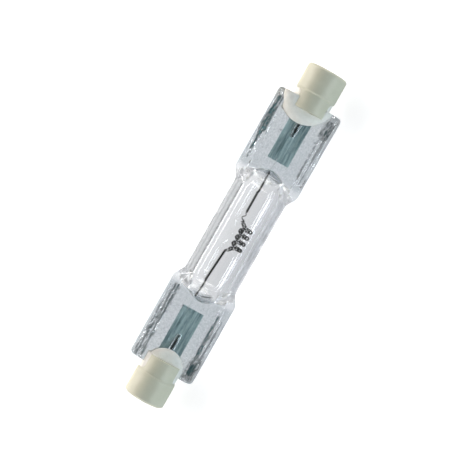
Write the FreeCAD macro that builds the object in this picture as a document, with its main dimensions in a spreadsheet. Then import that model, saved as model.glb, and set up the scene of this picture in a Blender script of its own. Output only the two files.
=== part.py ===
import FreeCAD, Part
import Sketcher
import math
import os
from FreeCAD import Placement, Rotation, Vector

# A double-ended linear halogen bulb, modelled about its own axis and then laid down.
# X runs along the lamp, Y across the flat of the pressed seals, and Z out of their front face.
# "right" is the end at plus X, "left" the end at minus X.

os.makedirs("parts", exist_ok=True)
doc = FreeCAD.newDocument("linear_halogen_bulb")

# Driving dimensions in millimetres
sheet = doc.addObject("Spreadsheet::Sheet", "Sizes")
sizes = {
    # Whole lamp, end to end over the ceramic; the contact faces lie 74.9 apart
    "overall_length": 78.3,
    "recess_depth": 1.7,
    # Quartz tube
    "tube_diameter": 12.0,
    "tube_wall": 1.85,
    "tube_straight": 20.4,
    # Shoulders, where the tube goes over into the pressed seals
    "shoulder_length": 3.2,
    "slope_length": 5.05,
    "slope_bow": 2.3,
    "bore_end_width": 6.8,
    "bore_end_thickness": 0.6,
    # Pressed seals: a thin flat between two thicker ridges
    "end_gap": 1.5,
    "seal_width": 14.8,
    "ridge_thickness": 3.8,
    "ridge_width": 2.0,
    "ridge_corner": 0.6,
    "ridge_slope": 0.6,
    "flat_thickness": 2.4,
    "seal_end_corner": 0.8,
    # Exhaust tip on the back of the tube
    "tip_height": 1.2,
    "tip_radius": 0.8,
    "tip_flare": 1.7,
    "tip_sunk": 0.6,
    "tip_bore": 0.45,
    # Foils
    "foil_width": 4.86,
    "foil_cover": 3.2,
    "foil_thickness": 0.05,
    "foil_setback": 2.45,
    "weld_depth": 0.03,
    # Inner leads and their support windings
    "lead_diameter": 0.28,
    "lead_overlap": 1.5,
    "winding_diameter": 0.5,
    "right_winding_setback": 1.7,
    "left_winding_setback": 2.2,
    "right_lead_offset": 0.45,
    "left_lead_offset": 1.2,
    "bend_setback": 1.2,
    "right_tail": 2.5,
    "left_tail": 0.55,
    "left_tail_offset": 0.42,
    # Outer pins
    "pin_diameter": 0.8,
    "pin_tip_diameter": 0.44,
    "pin_taper": 0.9,
    "pin_overlap": 5.0,
    "capillary_gap": 0.1,
    # Ceramic caps
    "cap_diameter": 9.0,
    "cap_base": 5.85,
    "jaw_length": 3.6,
    "jaw_relief": 0.2,
    "relief_setback": 0.3,
    "slot_width": 5.2,
    "slot_fillet": 1.0,
    "cap_edge": 0.4,
    "recess_diameter": 4.4,
    "contact_clearance": 0.05,
    # Contacts
    "contact_diameter": 3.6,
    "contact_thickness": 0.8,
    "contact_edge": 0.25,
    "shank_diameter": 1.7,
    "shank_length": 2.1,
    "pin_depth": 1.6,
    # Filament: a fine coil that is itself wound into four large turns
    "coil_diameter": 0.87,
    "wire_diameter": 0.18,
    "turn_radius": 1.02,
    "turn_pitch": 1.46,
    "turn_count": 4,
    "turn_comb": 0.65,
    "coil_offset": 1.375,
    "coil_start": 0.95,
    "coil_start_offset": 0.4,
    "coil_end": 0.3,
    "coil_end_offset": 0.1,
    "fine_pitch": 0.5,
    "tail_swing": 0.3,
    # Cement
    "cement_inset": 0.25,
    "right_cement_thickness": 6.2,
    "right_cement_radius": 6.3,
    "right_cement_centre": 0.9,
    "right_cement_offset": 0.95,
    "left_cement_thickness": 5.8,
    "left_cement_radius": 4.4,
    "left_cement_centre": -0.6,
    "left_cement_offset": -0.25,
}
for row, (alias, value) in enumerate(sizes.items(), start=1):
    sheet.set(f"A{row}", alias)
    sheet.set(f"B{row}", str(value))
    sheet.setAlias(f"B{row}", alias)
doc.recompute()


def size(expression):
    """The number that an expression of the sheet's names gives."""
    value = sheet.evalExpression(expression)
    return float(value.Value) if hasattr(value, "Value") else float(value)


def bound(expression):
    """The same expression as other objects write it, with the sheet named before each size."""
    words = sorted(sizes, key=len, reverse=True)
    text = expression
    for number, word in enumerate(words):
        text = text.replace(word, f"<{number}>")
    for number, word in enumerate(words):
        text = text.replace(f"<{number}>", f"Sizes.{word}")
    return text


# Places along the lamp, from its middle
half_length = "(overall_length / 2)"
contact_face = "(overall_length / 2 - recess_depth)"
recess_floor = "(overall_length / 2 - recess_depth - contact_thickness)"
shank_end = "(overall_length / 2 - recess_depth - contact_thickness - shank_length)"
pin_root = "(overall_length / 2 - recess_depth - contact_thickness - shank_length + pin_depth)"
slot_bottom = "(overall_length / 2 - cap_base)"
relief_end = "(overall_length / 2 - cap_base + relief_setback)"
jaw_end = "(overall_length / 2 - cap_base - jaw_length)"
seal_end = "(overall_length / 2 - cap_base - end_gap)"
foil_outer = "(overall_length / 2 - cap_base - end_gap - foil_cover)"
pin_tip = "(overall_length / 2 - cap_base - end_gap - foil_cover - pin_overlap)"
straight_half = "(tube_straight / 2)"
seal_start = "(tube_straight / 2 + slope_length)"
foil_inner = "(tube_straight / 2 + slope_length + foil_setback)"
foil_top = "(weld_depth - pin_diameter / 2)"
foil_height = "(weld_depth - pin_diameter / 2 - foil_thickness / 2)"


def primitive(kind, name, place, turn, **bindings):
    """A primitive solid of the document with its sizes bound to the sheet."""
    solid = doc.addObject(kind, name)
    for item, expression in bindings.items():
        solid.setExpression(item, bound(expression))
    solid.Placement = Placement(place, turn)
    return solid


def fused(name, pieces):
    """One object fused from several."""
    result = doc.addObject("Part::MultiFuse", name)
    result.Shapes = pieces
    return result


def feature(name, shape):
    """A document object that holds a shape worked out below."""
    result = doc.addObject("Part::Feature", name)
    result.Shape = shape
    return result


def own_plane(body, role):
    """One of the body's own origin planes or axes."""
    return next(item for item in body.Origin.OriginFeatures if item.Role == role)


def outline(body, name, plane, corners):
    """A closed sketch whose corners lie at expressions of the sheet, fully held by them."""
    sketch = body.newObject("Sketcher::SketchObject", name)
    sketch.AttachmentSupport = [(own_plane(body, plane), "")]
    sketch.MapMode = "FlatFace"
    points = [Vector(size(x), size(y), 0) for x, y in corners]
    for here, there in zip(points, points[1:] + points[:1]):
        sketch.addGeometry(Part.LineSegment(here, there))
    for index in range(len(corners)):
        following = (index + 1) % len(corners)
        sketch.addConstraint(Sketcher.Constraint("Coincident", index, 2, following, 1))
    for index, corner in enumerate(corners):
        for kind, axis, expression in (("DistanceX", -2, corner[0]), ("DistanceY", -1, corner[1])):
            if expression == "0":
                sketch.addConstraint(Sketcher.Constraint("PointOnObject", index, 1, axis))
                continue
            held = sketch.addConstraint(Sketcher.Constraint(kind, -1, 1, index, 1, size(expression)))
            sketch.setExpression(f"Constraints[{held}]", bound(expression))
    return sketch


def turned(body, name, corners):
    """A revolution about the lamp's axis, from a half section given as places and radii."""
    sketch = outline(body, name + "_section", "XZ_Plane", corners)
    revolution = body.newObject("PartDesign::Revolution", name)
    revolution.Profile = sketch
    revolution.ReferenceAxis = (sketch, ["H_Axis"])
    revolution.Angle = 360
    return revolution


def edges_where(shape, test):
    """Names of the edges whose centre and length pass a test."""
    return [f"Edge{i}" for i, edge in enumerate(shape.Edges, start=1) if test(edge)]


# Ceramic cap: a turned cylinder with a recess in its end, slotted to straddle the pressed seal
def make_cap(name):
    cap = doc.addObject("PartDesign::Body", name)
    bore = "(shank_diameter / 2 + contact_clearance)"
    pocket = "(contact_diameter / 2 + contact_clearance)"
    turned(cap, name + "_turning", [
        (jaw_end, bore),
        (jaw_end, "(cap_diameter / 2 - jaw_relief)"),
        (relief_end, "(cap_diameter / 2 - jaw_relief)"),
        (relief_end, "cap_diameter / 2"),
        (half_length, "cap_diameter / 2"),
        (half_length, "recess_diameter / 2"),
        (contact_face, "recess_diameter / 2"),
        (contact_face, pocket),
        (recess_floor, pocket),
        (recess_floor, bore),
    ])
    opening = outline(cap, name + "_slot_section", "XZ_Plane", [
        (jaw_end + " - 1", "0 - slot_width / 2"),
        (slot_bottom, "0 - slot_width / 2"),
        (slot_bottom, "slot_width / 2"),
        (jaw_end + " - 1", "slot_width / 2"),
    ])
    slot = cap.newObject("PartDesign::Pocket", name + "_slot")
    slot.Profile = opening
    slot.Type = 1
    slot.Midplane = True
    doc.recompute()
    floor_at = size(slot_bottom)
    half_slot = size("slot_width / 2")
    corner = cap.newObject("PartDesign::Fillet", name + "_slot_corner")
    corner.Base = (slot, edges_where(slot.Shape, lambda e: abs(e.CenterOfMass.x - floor_at) < 0.01
                                     and abs(abs(e.CenterOfMass.z) - half_slot) < 0.01))
    corner.setExpression("Radius", bound("slot_fillet"))
    doc.recompute()
    end_at = size(half_length)
    rim = cap.newObject("PartDesign::Chamfer", name + "_rim")
    rim.Base = (corner, edges_where(corner.Shape, lambda e: abs(e.BoundBox.XMin - end_at) < 0.01
                                    and e.BoundBox.YLength > size("recess_diameter") + 0.1))
    rim.setExpression("Size", bound("cap_edge"))
    doc.recompute()
    return cap


# Contact button: a flat head in the recess and a shank that holds the pin
def make_contact(name):
    contact = doc.addObject("PartDesign::Body", name)
    head = turned(contact, name + "_turning", [
        (pin_root, "0"),
        (contact_face, "0"),
        (contact_face, "contact_diameter / 2"),
        (recess_floor, "contact_diameter / 2"),
        (recess_floor, "shank_diameter / 2"),
        (shank_end, "shank_diameter / 2"),
        (shank_end, "pin_diameter / 2"),
        (pin_root, "pin_diameter / 2"),
    ])
    doc.recompute()
    face_at = size(contact_face)
    edge = contact.newObject("PartDesign::Chamfer", name + "_edge")
    edge.Base = (head, edges_where(head.Shape, lambda e: abs(e.BoundBox.XMin - face_at) < 0.01))
    edge.setExpression("Size", bound("contact_edge"))
    doc.recompute()
    return contact


# Outer pin: a straight wire, drawn down where it is welded to the foil
def make_pin(name):
    pin = doc.addObject("PartDesign::Body", name)
    turned(pin, name + "_turning", [
        (pin_tip, "0"),
        (pin_tip, "pin_tip_diameter / 2"),
        (pin_tip + " + pin_taper", "pin_diameter / 2"),
        (pin_root, "pin_diameter / 2"),
        (pin_root, "0"),
    ])
    flat = outline(pin, name + "_weld_section", "XZ_Plane", [
        (pin_tip + " - 1", foil_top),
        (foil_outer, foil_top),
        (foil_outer, foil_top + " - 1"),
        (pin_tip + " - 1", foil_top + " - 1"),
    ])
    weld = pin.newObject("PartDesign::Pocket", name + "_weld")
    weld.Profile = flat
    weld.Type = 1
    weld.Midplane = True
    doc.recompute()
    return pin


# Foil: a thin strip that lies against the back of the pin
def make_foil(name):
    foil = doc.addObject("PartDesign::Body", name)
    strip = outline(foil, name + "_section", "XY_Plane", [
        (foil_inner, "0 - foil_width / 2"),
        (foil_outer, "0 - foil_width / 2"),
        (foil_outer, "foil_width / 2"),
        (foil_inner, "foil_width / 2"),
    ])
    strip.AttachmentOffset = Placement(Vector(0, 0, size(foil_height)), Rotation())
    pad = foil.newObject("PartDesign::Pad", name + "_strip")
    pad.Profile = strip
    pad.setExpression("Length", bound("foil_thickness"))
    pad.Midplane = True
    doc.recompute()
    return foil


def round_tube(points, radius, share=0.45):
    """A round wire along straight runs, joined by tangent arcs as large as the runs allow."""
    ahead = points[1] - points[0]
    ring = Part.Wire(Part.makeCircle(radius, points[0], ahead))
    walls = []
    lids = [Part.Face(ring)]
    place = points[0]
    for before, here, after in zip(points, points[1:], points[2:]):
        back = before - here
        ahead = after - here
        half_turn = (math.pi - back.getAngle(ahead)) / 2
        reach = share * min(back.Length, ahead.Length)
        bend = reach / math.tan(half_turn)
        back.normalize()
        ahead.normalize()
        entry = here + back * reach
        if (entry - place).Length > 1e-4:
            run = ring.extrude(entry - place)
            walls += run.Faces
            ring = ring.translated(entry - place)
        inward = back + ahead
        inward.normalize()
        hub = here + inward * (bend / math.cos(half_turn))
        spin = ahead.cross(back)
        angle = 2 * math.degrees(half_turn)
        walls += ring.revolve(hub, spin, angle).Faces
        ring = ring.copy()
        ring.rotate(hub, spin, angle)
        place = here + ahead * reach
    walls += ring.extrude(points[-1] - place).Faces
    lids.append(Part.Face(ring.translated(points[-1] - place)))
    shell = Part.makeShell(walls + lids)
    shell.sewShape()
    solid = Part.makeSolid(shell)
    if solid.Volume < 0:
        solid.reverse()
    return solid


# Outline of the glass at a place along the shoulder: the tube's circle goes over into the seal's section
def seal_corners():
    """Corner and middle points of one half of the seal's section, each with its angle on the circle."""
    half_width = size("seal_width / 2")
    ridge = size("ridge_thickness / 2")
    flat = size("flat_thickness / 2")
    corner = size("ridge_corner")
    bend = corner * (1 - math.sqrt(0.5))
    inner = half_width - size("ridge_width")
    foot = inner - size("ridge_slope")
    return [
        (half_width, 0),
        (half_width, ridge - corner),
        (half_width - bend, ridge - bend),
        (half_width - corner, ridge),
        ((half_width - corner + inner) / 2, ridge),
        (inner, ridge),
        ((inner + foot) / 2, (ridge + flat) / 2),
        (foot, flat),
        (0, flat),
    ]


def section_wire(place, radius, corners, share_across, share_through):
    """A closed wire between the circle and the given corners: one edge for each two points."""
    quarter = []
    widest = corners[0][0]
    for across, through in corners:
        angle = math.acos(across / widest)
        if through and angle == 0:
            angle = 0.6 * math.acos(corners[2][0] / widest)
        flattened = share_through(across / widest)
        y = (1 - share_across) * radius * math.cos(angle) + share_across * across
        z = (1 - flattened) * radius * math.sin(angle) + flattened * through
        quarter.append(Vector(place, y, z))
    top = quarter + [Vector(p.x, -p.y, p.z) for p in quarter[-2::-1]]
    ring = top + [Vector(p.x, p.y, -p.z) for p in top[-2:0:-1]]
    # The ring starts at the middle of one side, so it is turned to start at a corner
    ring = ring[1:] + ring[:1]
    edges = []
    for index in range(0, len(ring), 2):
        start, middle, end = ring[index], ring[index + 1], ring[(index + 2) % len(ring)]
        straight = (start - middle).cross(end - middle).Length < 1e-7
        curve = Part.LineSegment(start, end) if straight else Part.Arc(start, middle, end)
        edges.append(curve.toShape())
    return Part.Wire(edges)


def eased(share):
    """A share from 0 to 1 that starts and ends level."""
    share = min(max(share, 0.0), 1.0)
    return share * share * (3 - 2 * share)


def shoulder(radius, corners, across_over, bow, steps=6):
    """The loft from a circle to a flat section: its slope is shorter at the sides by the bow."""
    start = size(straight_half)
    slope = size("slope_length")
    wires = []
    for step in range(steps + 1):
        run = slope * step / steps

        def flattened(share):
            return eased(run / (slope - bow * share * share))

        wires.append(section_wire(start + run, radius, corners, eased(run / across_over), flattened))
    return Part.makeLoft(wires, True, False)


def bore_corners():
    """The flattened end of the bore, given with as many points as the seal's section."""
    half_width = size("bore_end_width / 2")
    half_thick = size("bore_end_thickness / 2")
    places = [1.0, 0.9, 0.0]
    return [(half_width * share, half_thick * math.sqrt(1 - share * share)) for share in places]


tube_radius = size("tube_diameter / 2")
bore_radius = size("tube_diameter / 2 - tube_wall")
mirror_turn = Rotation(Vector(0, 0, 1), 180)
outer_shoulder = shoulder(tube_radius, seal_corners(), size("shoulder_length"), size("slope_bow"))
bore_shoulder = shoulder(bore_radius, bore_corners(), size("slope_length"), 0)
seal_face = Part.Face(section_wire(size(seal_start), tube_radius, seal_corners(), 1, lambda share: 1))
seal_length = size(seal_end + " - " + seal_start)
seal_block = seal_face.extrude(Vector(seal_length, 0, 0))
side_at = size("seal_width / 2")
rounding = Part.makeBox(seal_length, 2 * side_at, 4 * side_at,
                        Vector(size(seal_start), -side_at, -2 * side_at))
end_edges = [e for e in rounding.Edges
             if abs(e.CenterOfMass.x - size(seal_end)) < 1e-3 and abs(abs(e.CenterOfMass.y) - side_at) < 1e-3]
seal_block = seal_block.common(rounding.makeFillet(size("seal_end_corner"), end_edges))


def both_ends(name, shape):
    """The same shape at both ends of the lamp."""
    left = shape.copy()
    left.Placement = Placement(Vector(), mirror_turn).multiply(left.Placement)
    return [feature(name + "_right", shape), feature(name + "_left", left)]


along_lamp = Rotation(Vector(0, 1, 0), 90)
tube_start = Vector(-size(straight_half), 0, 0)
glass = [primitive("Part::Cylinder", "tube", tube_start, along_lamp,
                   Radius="tube_diameter / 2", Height="tube_straight")]
glass += both_ends("shoulder", outer_shoulder)
glass += both_ends("seal", seal_block)


# Exhaust tip: the closed stub of the filling tube, flared into the back of the glass
def exhaust_tip():
    top = size("tube_diameter / 2 + tip_height")
    foot = size("tube_diameter / 2 - tip_sunk")
    nub = size("tip_radius")
    flare = size("tip_flare")
    half = Part.makePolygon([
        Vector(0, 0, foot),
        Vector(nub + flare, 0, foot),
        Vector(nub + flare / 3, 0, foot + (top - foot) * 0.45),
        Vector(nub, 0, foot + (top - foot) * 0.8),
        Vector(nub * 0.6, 0, top),
        Vector(0, 0, top),
        Vector(0, 0, foot),
    ])
    tip = Part.Face(half).revolve(Vector(), Vector(0, 0, 1), 360)
    tip.rotate(Vector(), Vector(1, 0, 0), 180)
    return tip


glass.append(feature("tip", exhaust_tip()))

# Bore: the closed space inside, with the dimple that the tip leaves in its wall
bore = [primitive("Part::Cylinder", "bore", tube_start, along_lamp,
                  Radius="tube_diameter / 2 - tube_wall", Height="tube_straight")]
bore += both_ends("bore_shoulder", bore_shoulder)
dimple_start = Vector(0, 0, size("tip_sunk + tube_wall - tube_diameter / 2"))
bore.append(primitive("Part::Cone", "tip_dimple", dimple_start, Rotation(Vector(1, 0, 0), 180),
                      Radius1="2 * tip_bore", Radius2="tip_bore / 2", Height="tube_wall + tip_height / 2"))


# Inner leads: each runs straight from its foil into the bore; the left one then slants to the filament
lead_radius = size("lead_diameter / 2")
lead_height = size(foil_top + " - weld_depth + lead_diameter / 2")
weld_at = size(foil_inner + " + lead_overlap")
coil_half = size("turn_pitch * turn_count / 2")
lead_path = {
    1: [
        Vector(weld_at, size("right_lead_offset"), lead_height),
        Vector(coil_half + size("right_tail"), size("right_lead_offset"), lead_height),
    ],
    -1: [
        Vector(-weld_at, size("left_lead_offset"), lead_height),
        Vector(-size(seal_start) + size("bend_setback"), size("left_lead_offset"), lead_height),
        Vector(-coil_half - size("left_tail"), size("left_tail_offset"), lead_height),
    ],
}
lead_shape = {side: round_tube(lead_path[side], lead_radius, 0.1) for side in (1, -1)}


# Support winding: a sleeve of tight turns on the straight stretch of the lead inside the bore
def winding_shape(side, setback):
    far, near = lead_path[side][-2:]
    along = far - near
    length = along.Length * (size(seal_start) - setback - abs(near.x)) / abs(along.x)
    along.normalize()
    outer = Part.makeCylinder(size("winding_diameter / 2"), length, near, along)
    return outer.cut(Part.makeCylinder(lead_radius, length, near, along))


# Filament: one wire, wound into a fine coil that is itself wound into large turns, with plain tails
FINE_STEPS = 8
WIRE_SIDES = 4


def carried(across, before, after):
    """A vector across a path, carried on from one direction of the path to the next without twist."""
    turn = Rotation(before, after)
    return turn.multVec(across)


def directions(points):
    """Unit directions of a path at its points."""
    ends = zip([points[0]] + points[:-1], points[1:] + [points[-1]])
    return [(after - before).normalize() for before, after in ends]


def frames(points):
    """For each point of a path: its direction and two unit vectors across it, carried along without twist."""
    along = directions(points)
    side = along[0].cross(Vector(0, 0, 1)).normalize()
    result = []
    for here, before in zip(along, [along[0]] + along[:-1]):
        side = carried(side, before, here)
        result.append((here, side, here.cross(side)))
    return result


def coil_axis():
    """Evenly spaced points along the middle of the fine coil, with a fixed number for each fine turn."""
    radius = size("turn_radius")
    pitch = size("turn_pitch")
    knots = [Vector(coil_half + size("coil_start"), size("coil_start_offset"), lead_height)]
    for step in range(12 * int(size("turn_count")) + 1):
        angle = math.pi * step / 6
        # Most of the pitch is taken up on the side near the leads, so the far sides stand out like a comb
        run = angle + size("turn_comb") * math.sin(angle)
        knots.append(Vector(coil_half - pitch * run / (2 * math.pi),
                            radius * math.cos(angle) - size("coil_offset"), radius * math.sin(angle)))
    knots.append(Vector(-coil_half - size("coil_end"), size("coil_end_offset"), lead_height))
    curve = Part.BSplineCurve()
    curve.interpolate(knots)
    fine_turns = round(curve.length() / size("fine_pitch"))
    return curve.discretize(Number=fine_turns * FINE_STEPS + 1)


def filament_path():
    """Middle of the wire from the right lead's end, through the coil, to the left lead's end."""
    axis = coil_axis()
    ring = size("(coil_diameter - wire_diameter) / 2")
    path = []
    for index, (middle, (_, side, up)) in enumerate(zip(axis, frames(axis))):
        near_end = min(index, len(axis) - 1 - index)
        reach = ring * min(1, (near_end + 1) / FINE_STEPS)
        angle = 2 * math.pi * index / FINE_STEPS
        path.append(middle + side * (reach * math.cos(angle)) + up * (reach * math.sin(angle)))
    right_end = lead_path[1][-1]
    left_end = lead_path[-1][-1]
    drop = (right_end.x - path[0].x) / 4
    swing = size("tail_swing")
    right_tail = [right_end, right_end - Vector(0.4 * drop, 0, 0)]
    for down, sideways in ((1.3, -1.0), (2.2, 0.2), (3.0, 1.0), (3.6, 0.9)):
        right_tail.append(right_end + Vector(-down * drop, sideways * swing, 0))
    inward = (left_end - lead_path[-1][-2]).normalize()
    return right_tail + path + [left_end + inward * size("wire_diameter"), left_end]


def faceted_wire(path, radius):
    """A solid wire of flat facets along a path."""
    rings = []
    for place, (_, side, up) in zip(path, frames(path)):
        angles = [2 * math.pi * corner / WIRE_SIDES for corner in range(WIRE_SIDES)]
        rings.append([place + side * (radius * math.cos(a)) + up * (radius * math.sin(a)) for a in angles])
    corners = [rings[0][::-1], rings[-1]]
    for before, after in zip(rings, rings[1:]):
        for here in range(WIRE_SIDES):
            there = (here + 1) % WIRE_SIDES
            corners.append([before[here], before[there], after[there]])
            corners.append([before[here], after[there], after[here]])
    faces = [Part.Face(Part.makePolygon(loop + loop[:1])) for loop in corners]
    shell = Part.makeShell(faces)
    shell.sewShape()
    solid = Part.makeSolid(shell)
    if solid.Volume < 0:
        solid.reverse()
    return solid


filament_wire = faceted_wire(filament_path(), size("wire_diameter / 2"))


# Room in the glass for what is sealed in it
room = []
for side, end in ((1, "right"), (-1, "left")):
    turn = Rotation() if side > 0 else mirror_turn
    corner = Vector(size(foil_inner), -size("foil_width / 2"), size(foil_height + " - foil_thickness / 2"))
    strip = primitive("Part::Box", f"foil_room_{end}", turn.multVec(corner), turn,
                      Length=foil_outer + " - " + foil_inner, Width="foil_width", Height="foil_thickness")
    capillary = primitive("Part::Cylinder", f"capillary_{end}", Vector(side * size(pin_tip), 0, 0),
                          Rotation(Vector(0, 1, 0), 90 * side),
                          Radius="pin_diameter / 2 + capillary_gap", Height=half_length + " - " + pin_tip)
    room += [strip, capillary, feature(f"lead_room_{end}", lead_shape[side])]

doc.recompute()
glass_body = fused("glass_body", glass)
quartz = doc.addObject("Part::Cut", "quartz_envelope")
quartz.Base = glass_body
quartz.Tool = fused("hollow", bore + room)
doc.recompute()


# Cement: it fills the slot between the jaws and the glass and swells out over the seal in a round mound
def cement_shape(side, end):
    rim = size(f"{end}_cement_thickness / 2")
    inner = size(f"{end}_cement_radius") - rim
    centre = Vector(side * (size(seal_end) + size(f"{end}_cement_centre")), size(f"{end}_cement_offset"), 0)
    mound = Part.makeTorus(inner, rim, centre, Vector(0, 0, 1))
    mound = mound.fuse(Part.makeCylinder(inner, 2 * rim, centre - Vector(0, 0, rim), Vector(0, 0, 1)))
    along = Vector(side, 0, 0)
    width = size("seal_width")
    over_seal = Part.makeBox(seal_length, 2 * width, 2 * width,
                             Vector(size(seal_start) if side > 0 else -size(seal_end), -width, -width))
    radius = size("cap_diameter / 2 - cement_inset")
    filling = Part.makeCylinder(radius, size("jaw_length"), along * size(jaw_end), along)
    lump = mound.common(over_seal).fuse(filling).cut([glass_body.Shape, caps[end].Shape, pins[end].Shape])
    return max(lump.Solids, key=lambda solid: solid.Volume)


caps = {end: make_cap(f"cap_{end}") for end in ("right", "left")}
contacts = {end: make_contact(f"contact_{end}") for end in ("right", "left")}
pins = {end: make_pin(f"outer_pin_{end}") for end in ("right", "left")}
foils = {end: make_foil(f"foil_{end}") for end in ("right", "left")}
for pieces in (caps, contacts, pins, foils):
    pieces["left"].Placement = Placement(Vector(), mirror_turn)
doc.recompute()
cement = {end: feature(f"cement_{end}", cement_shape(side, end))
          for side, end in ((1, "right"), (-1, "left"))}
leads = {end: feature(f"inner_lead_{end}", lead_shape[side].cut(foils[end].Shape))
         for side, end in ((1, "right"), (-1, "left"))}
windings = {end: feature(f"lead_coil_{end}", winding_shape(side, size(f"{end}_winding_setback")))
            for side, end in ((1, "right"), (-1, "left"))}
filament = feature("filament", filament_wire)

# Laid down: the lamp rests on its tube and on the front edges of both seals
corner = size("ridge_corner")
across = size("seal_width / 2") - corner
through = size("ridge_thickness / 2") - corner
rest_turn = math.degrees(math.asin((tube_radius - corner) / math.hypot(across, through))
                         - math.atan2(through, across))
rest = Placement(Vector(0, 0, tube_radius), Rotation(Vector(1, 0, 0), rest_turn))

parts = [quartz, filament]
for pieces in (leads, windings, foils, pins, caps, cement, contacts):
    parts += [pieces["left"], pieces["right"]]
for part in parts:
    part.Placement = rest.multiply(part.Placement)
doc.recompute()

for item in doc.Objects:
    if "Invalid" in item.State or "Error" in item.State:
        raise ValueError(f"{item.Name} failed: {item.State}")
for part in parts:
    shape = part.Shape
    if shape.isNull() or not shape.isValid() or not shape.Solids:
        raise ValueError(f"{part.Label} has no valid solid")
    box = shape.BoundBox
    spans = [f"{low:.2f} to {high:.2f}" for low, high in
             ((box.XMin, box.XMax), (box.YMin, box.YMax), (box.ZMin, box.ZMax))]
    print(part.Label, "solids", len(shape.Solids), "volume", round(shape.Volume, 3), "x y z", spans)
    shape.exportStep(f"parts/{part.Label}.step")
print("laid down at", round(rest_turn, 2), "degrees")
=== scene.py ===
import math

import bmesh
import bpy
import numpy as np
from mathutils import Matrix, Vector


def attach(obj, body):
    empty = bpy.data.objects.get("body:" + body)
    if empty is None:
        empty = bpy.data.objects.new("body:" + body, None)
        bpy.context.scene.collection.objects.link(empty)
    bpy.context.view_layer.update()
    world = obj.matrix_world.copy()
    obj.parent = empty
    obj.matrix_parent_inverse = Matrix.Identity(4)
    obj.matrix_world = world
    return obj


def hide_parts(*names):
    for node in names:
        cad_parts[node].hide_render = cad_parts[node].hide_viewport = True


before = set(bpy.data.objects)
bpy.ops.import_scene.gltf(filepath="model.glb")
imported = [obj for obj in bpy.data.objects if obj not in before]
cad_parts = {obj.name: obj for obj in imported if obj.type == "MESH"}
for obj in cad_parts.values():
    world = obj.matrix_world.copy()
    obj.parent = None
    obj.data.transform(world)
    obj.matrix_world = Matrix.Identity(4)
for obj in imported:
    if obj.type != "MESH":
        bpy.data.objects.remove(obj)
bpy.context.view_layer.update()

# Shapes are worked out in millimetres about the lamp's own axis and then laid down in metres:
# x along the lamp, y across the flat of the seals, z out of their front face.

tau = 2 * math.pi

glass = {
    "tubeRadius": 6.0,
    "wall": 1.85,
    "straightHalf": 10.2,
    "slopeLength": 5.05,
    "slopeBow": 2.3,
    "acrossLength": 3.2,
    "sealWidth": 14.8,
    "ridgeThickness": 3.8,
    "ridgeWidth": 2.5,
    "ridgeCorner": 0.6,
    "ridgeSlope": 0.7,
    "ridgeSweep": 0.60,
    "ridgePower": 0.8,
    "flatThickness": 2.4,
    "sealEnd": 31.8,
    "endCorner": 0.8,
    "endFlattening": 0.4,
    "ripple": {"depth": 0.2, "startRun": 3, "endRun": 1.2, "beadFrom": 4.6, "beadRun": 0.6,
               "coarse": 0.75, "fine": 0.4, "onFlat": 0.05},
    "tip": {"height": 1.05, "hollow": 0.85, "nub": 0.55, "radius": 1.25, "skirt": 0.45, "flare": 2.6,
            "reach": 4.0, "fade": 1.8},
    # the closing of the bore: shares of its width and thickness, and how far out each ring stands
    "bore": {"endWide": 3.4, "endThick": 0.75, "arc": 1.3, "arcPower": 2.5,
             "closing": [(0.97, 0.85, 0.12), (0.88, 0.6, 0.26), (0.7, 0.3, 0.35)], "point": 0.38},
}


def lampTurn():
    # the roll at which the lamp rests on its tube and on the ridges of both seals
    corner = glass["ridgeCorner"]
    across = glass["sealWidth"] / 2 - corner
    through = glass["ridgeThickness"] / 2 - corner
    reach = math.hypot(across, through)
    return math.asin((glass["tubeRadius"] - corner) / reach) - math.atan2(through, across)


restTurn = lampTurn()
axisHeight = glass["tubeRadius"] / 1000
layDown = Matrix.Translation((0, 0, axisHeight)) @ Matrix.Rotation(restTurn, 4, "X")
turnRows = np.array(layDown.to_3x3())


def laidDown(points):
    # from millimetres about the lamp's axis to metres on the floor
    return points @ turnRows.T / 1000 + np.array([0, 0, axisHeight])


def localPoints(mesh):
    # the mesh's points back in millimetres about the lamp's axis
    points = np.zeros(len(mesh.vertices) * 3)
    mesh.vertices.foreach_get("co", points)
    return (points.reshape(-1, 3) - [0, 0, axisHeight]) @ turnRows * 1000


# Mesh helpers

def newObject(name, data):
    made = bpy.data.objects.new(name, data)
    bpy.context.collection.objects.link(made)
    return made


def gridFaces(rows, columns):
    # quads between the neighbouring points of a grid that is joined round across its columns
    i, j = np.meshgrid(np.arange(rows - 1), np.arange(columns), indexing="ij")
    k = (j + 1) % columns
    quads = np.stack([i * columns + j, i * columns + k, (i + 1) * columns + k, (i + 1) * columns + j], -1)
    return quads.reshape(-1, 4)


def enclosedVolume(points, quads):
    # a sixth of the triple products of each quad's two triangles
    a, b, c, d = (points[quads[:, n]] for n in range(4))
    return (np.einsum("ij,ij->i", a, np.cross(b, c)) + np.einsum("ij,ij->i", a, np.cross(c, d))).sum() / 6


def meshOf(name, surfaces, smoothAngle=40):
    # surfaces: grids of points, each with the sign of its space: plus for solid, minus for a hollow
    joined, sliver = 2e-8, 1e-8
    points, quads, start = [], [], 0
    for grid, sign in surfaces:
        flat = grid.reshape(-1, 3)
        faces = gridFaces(grid.shape[0], grid.shape[1])
        if enclosedVolume(flat - flat.mean(0), faces) * sign < 0:
            faces = faces[:, ::-1]
        points.append(flat)
        quads.append(faces + start)
        start += len(flat)
    mesh = bpy.data.meshes.new(name)
    mesh.from_pydata(laidDown(np.concatenate(points)), [], np.concatenate(quads))
    work = bmesh.new()
    work.from_mesh(mesh)
    bmesh.ops.remove_doubles(work, verts=work.verts, dist=joined)
    bmesh.ops.dissolve_degenerate(work, edges=work.edges, dist=sliver)
    work.to_mesh(mesh)
    work.free()
    mesh.shade_smooth()
    mesh.set_sharp_from_angle(angle=math.radians(smoothAngle))
    return newObject(name, mesh)


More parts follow.
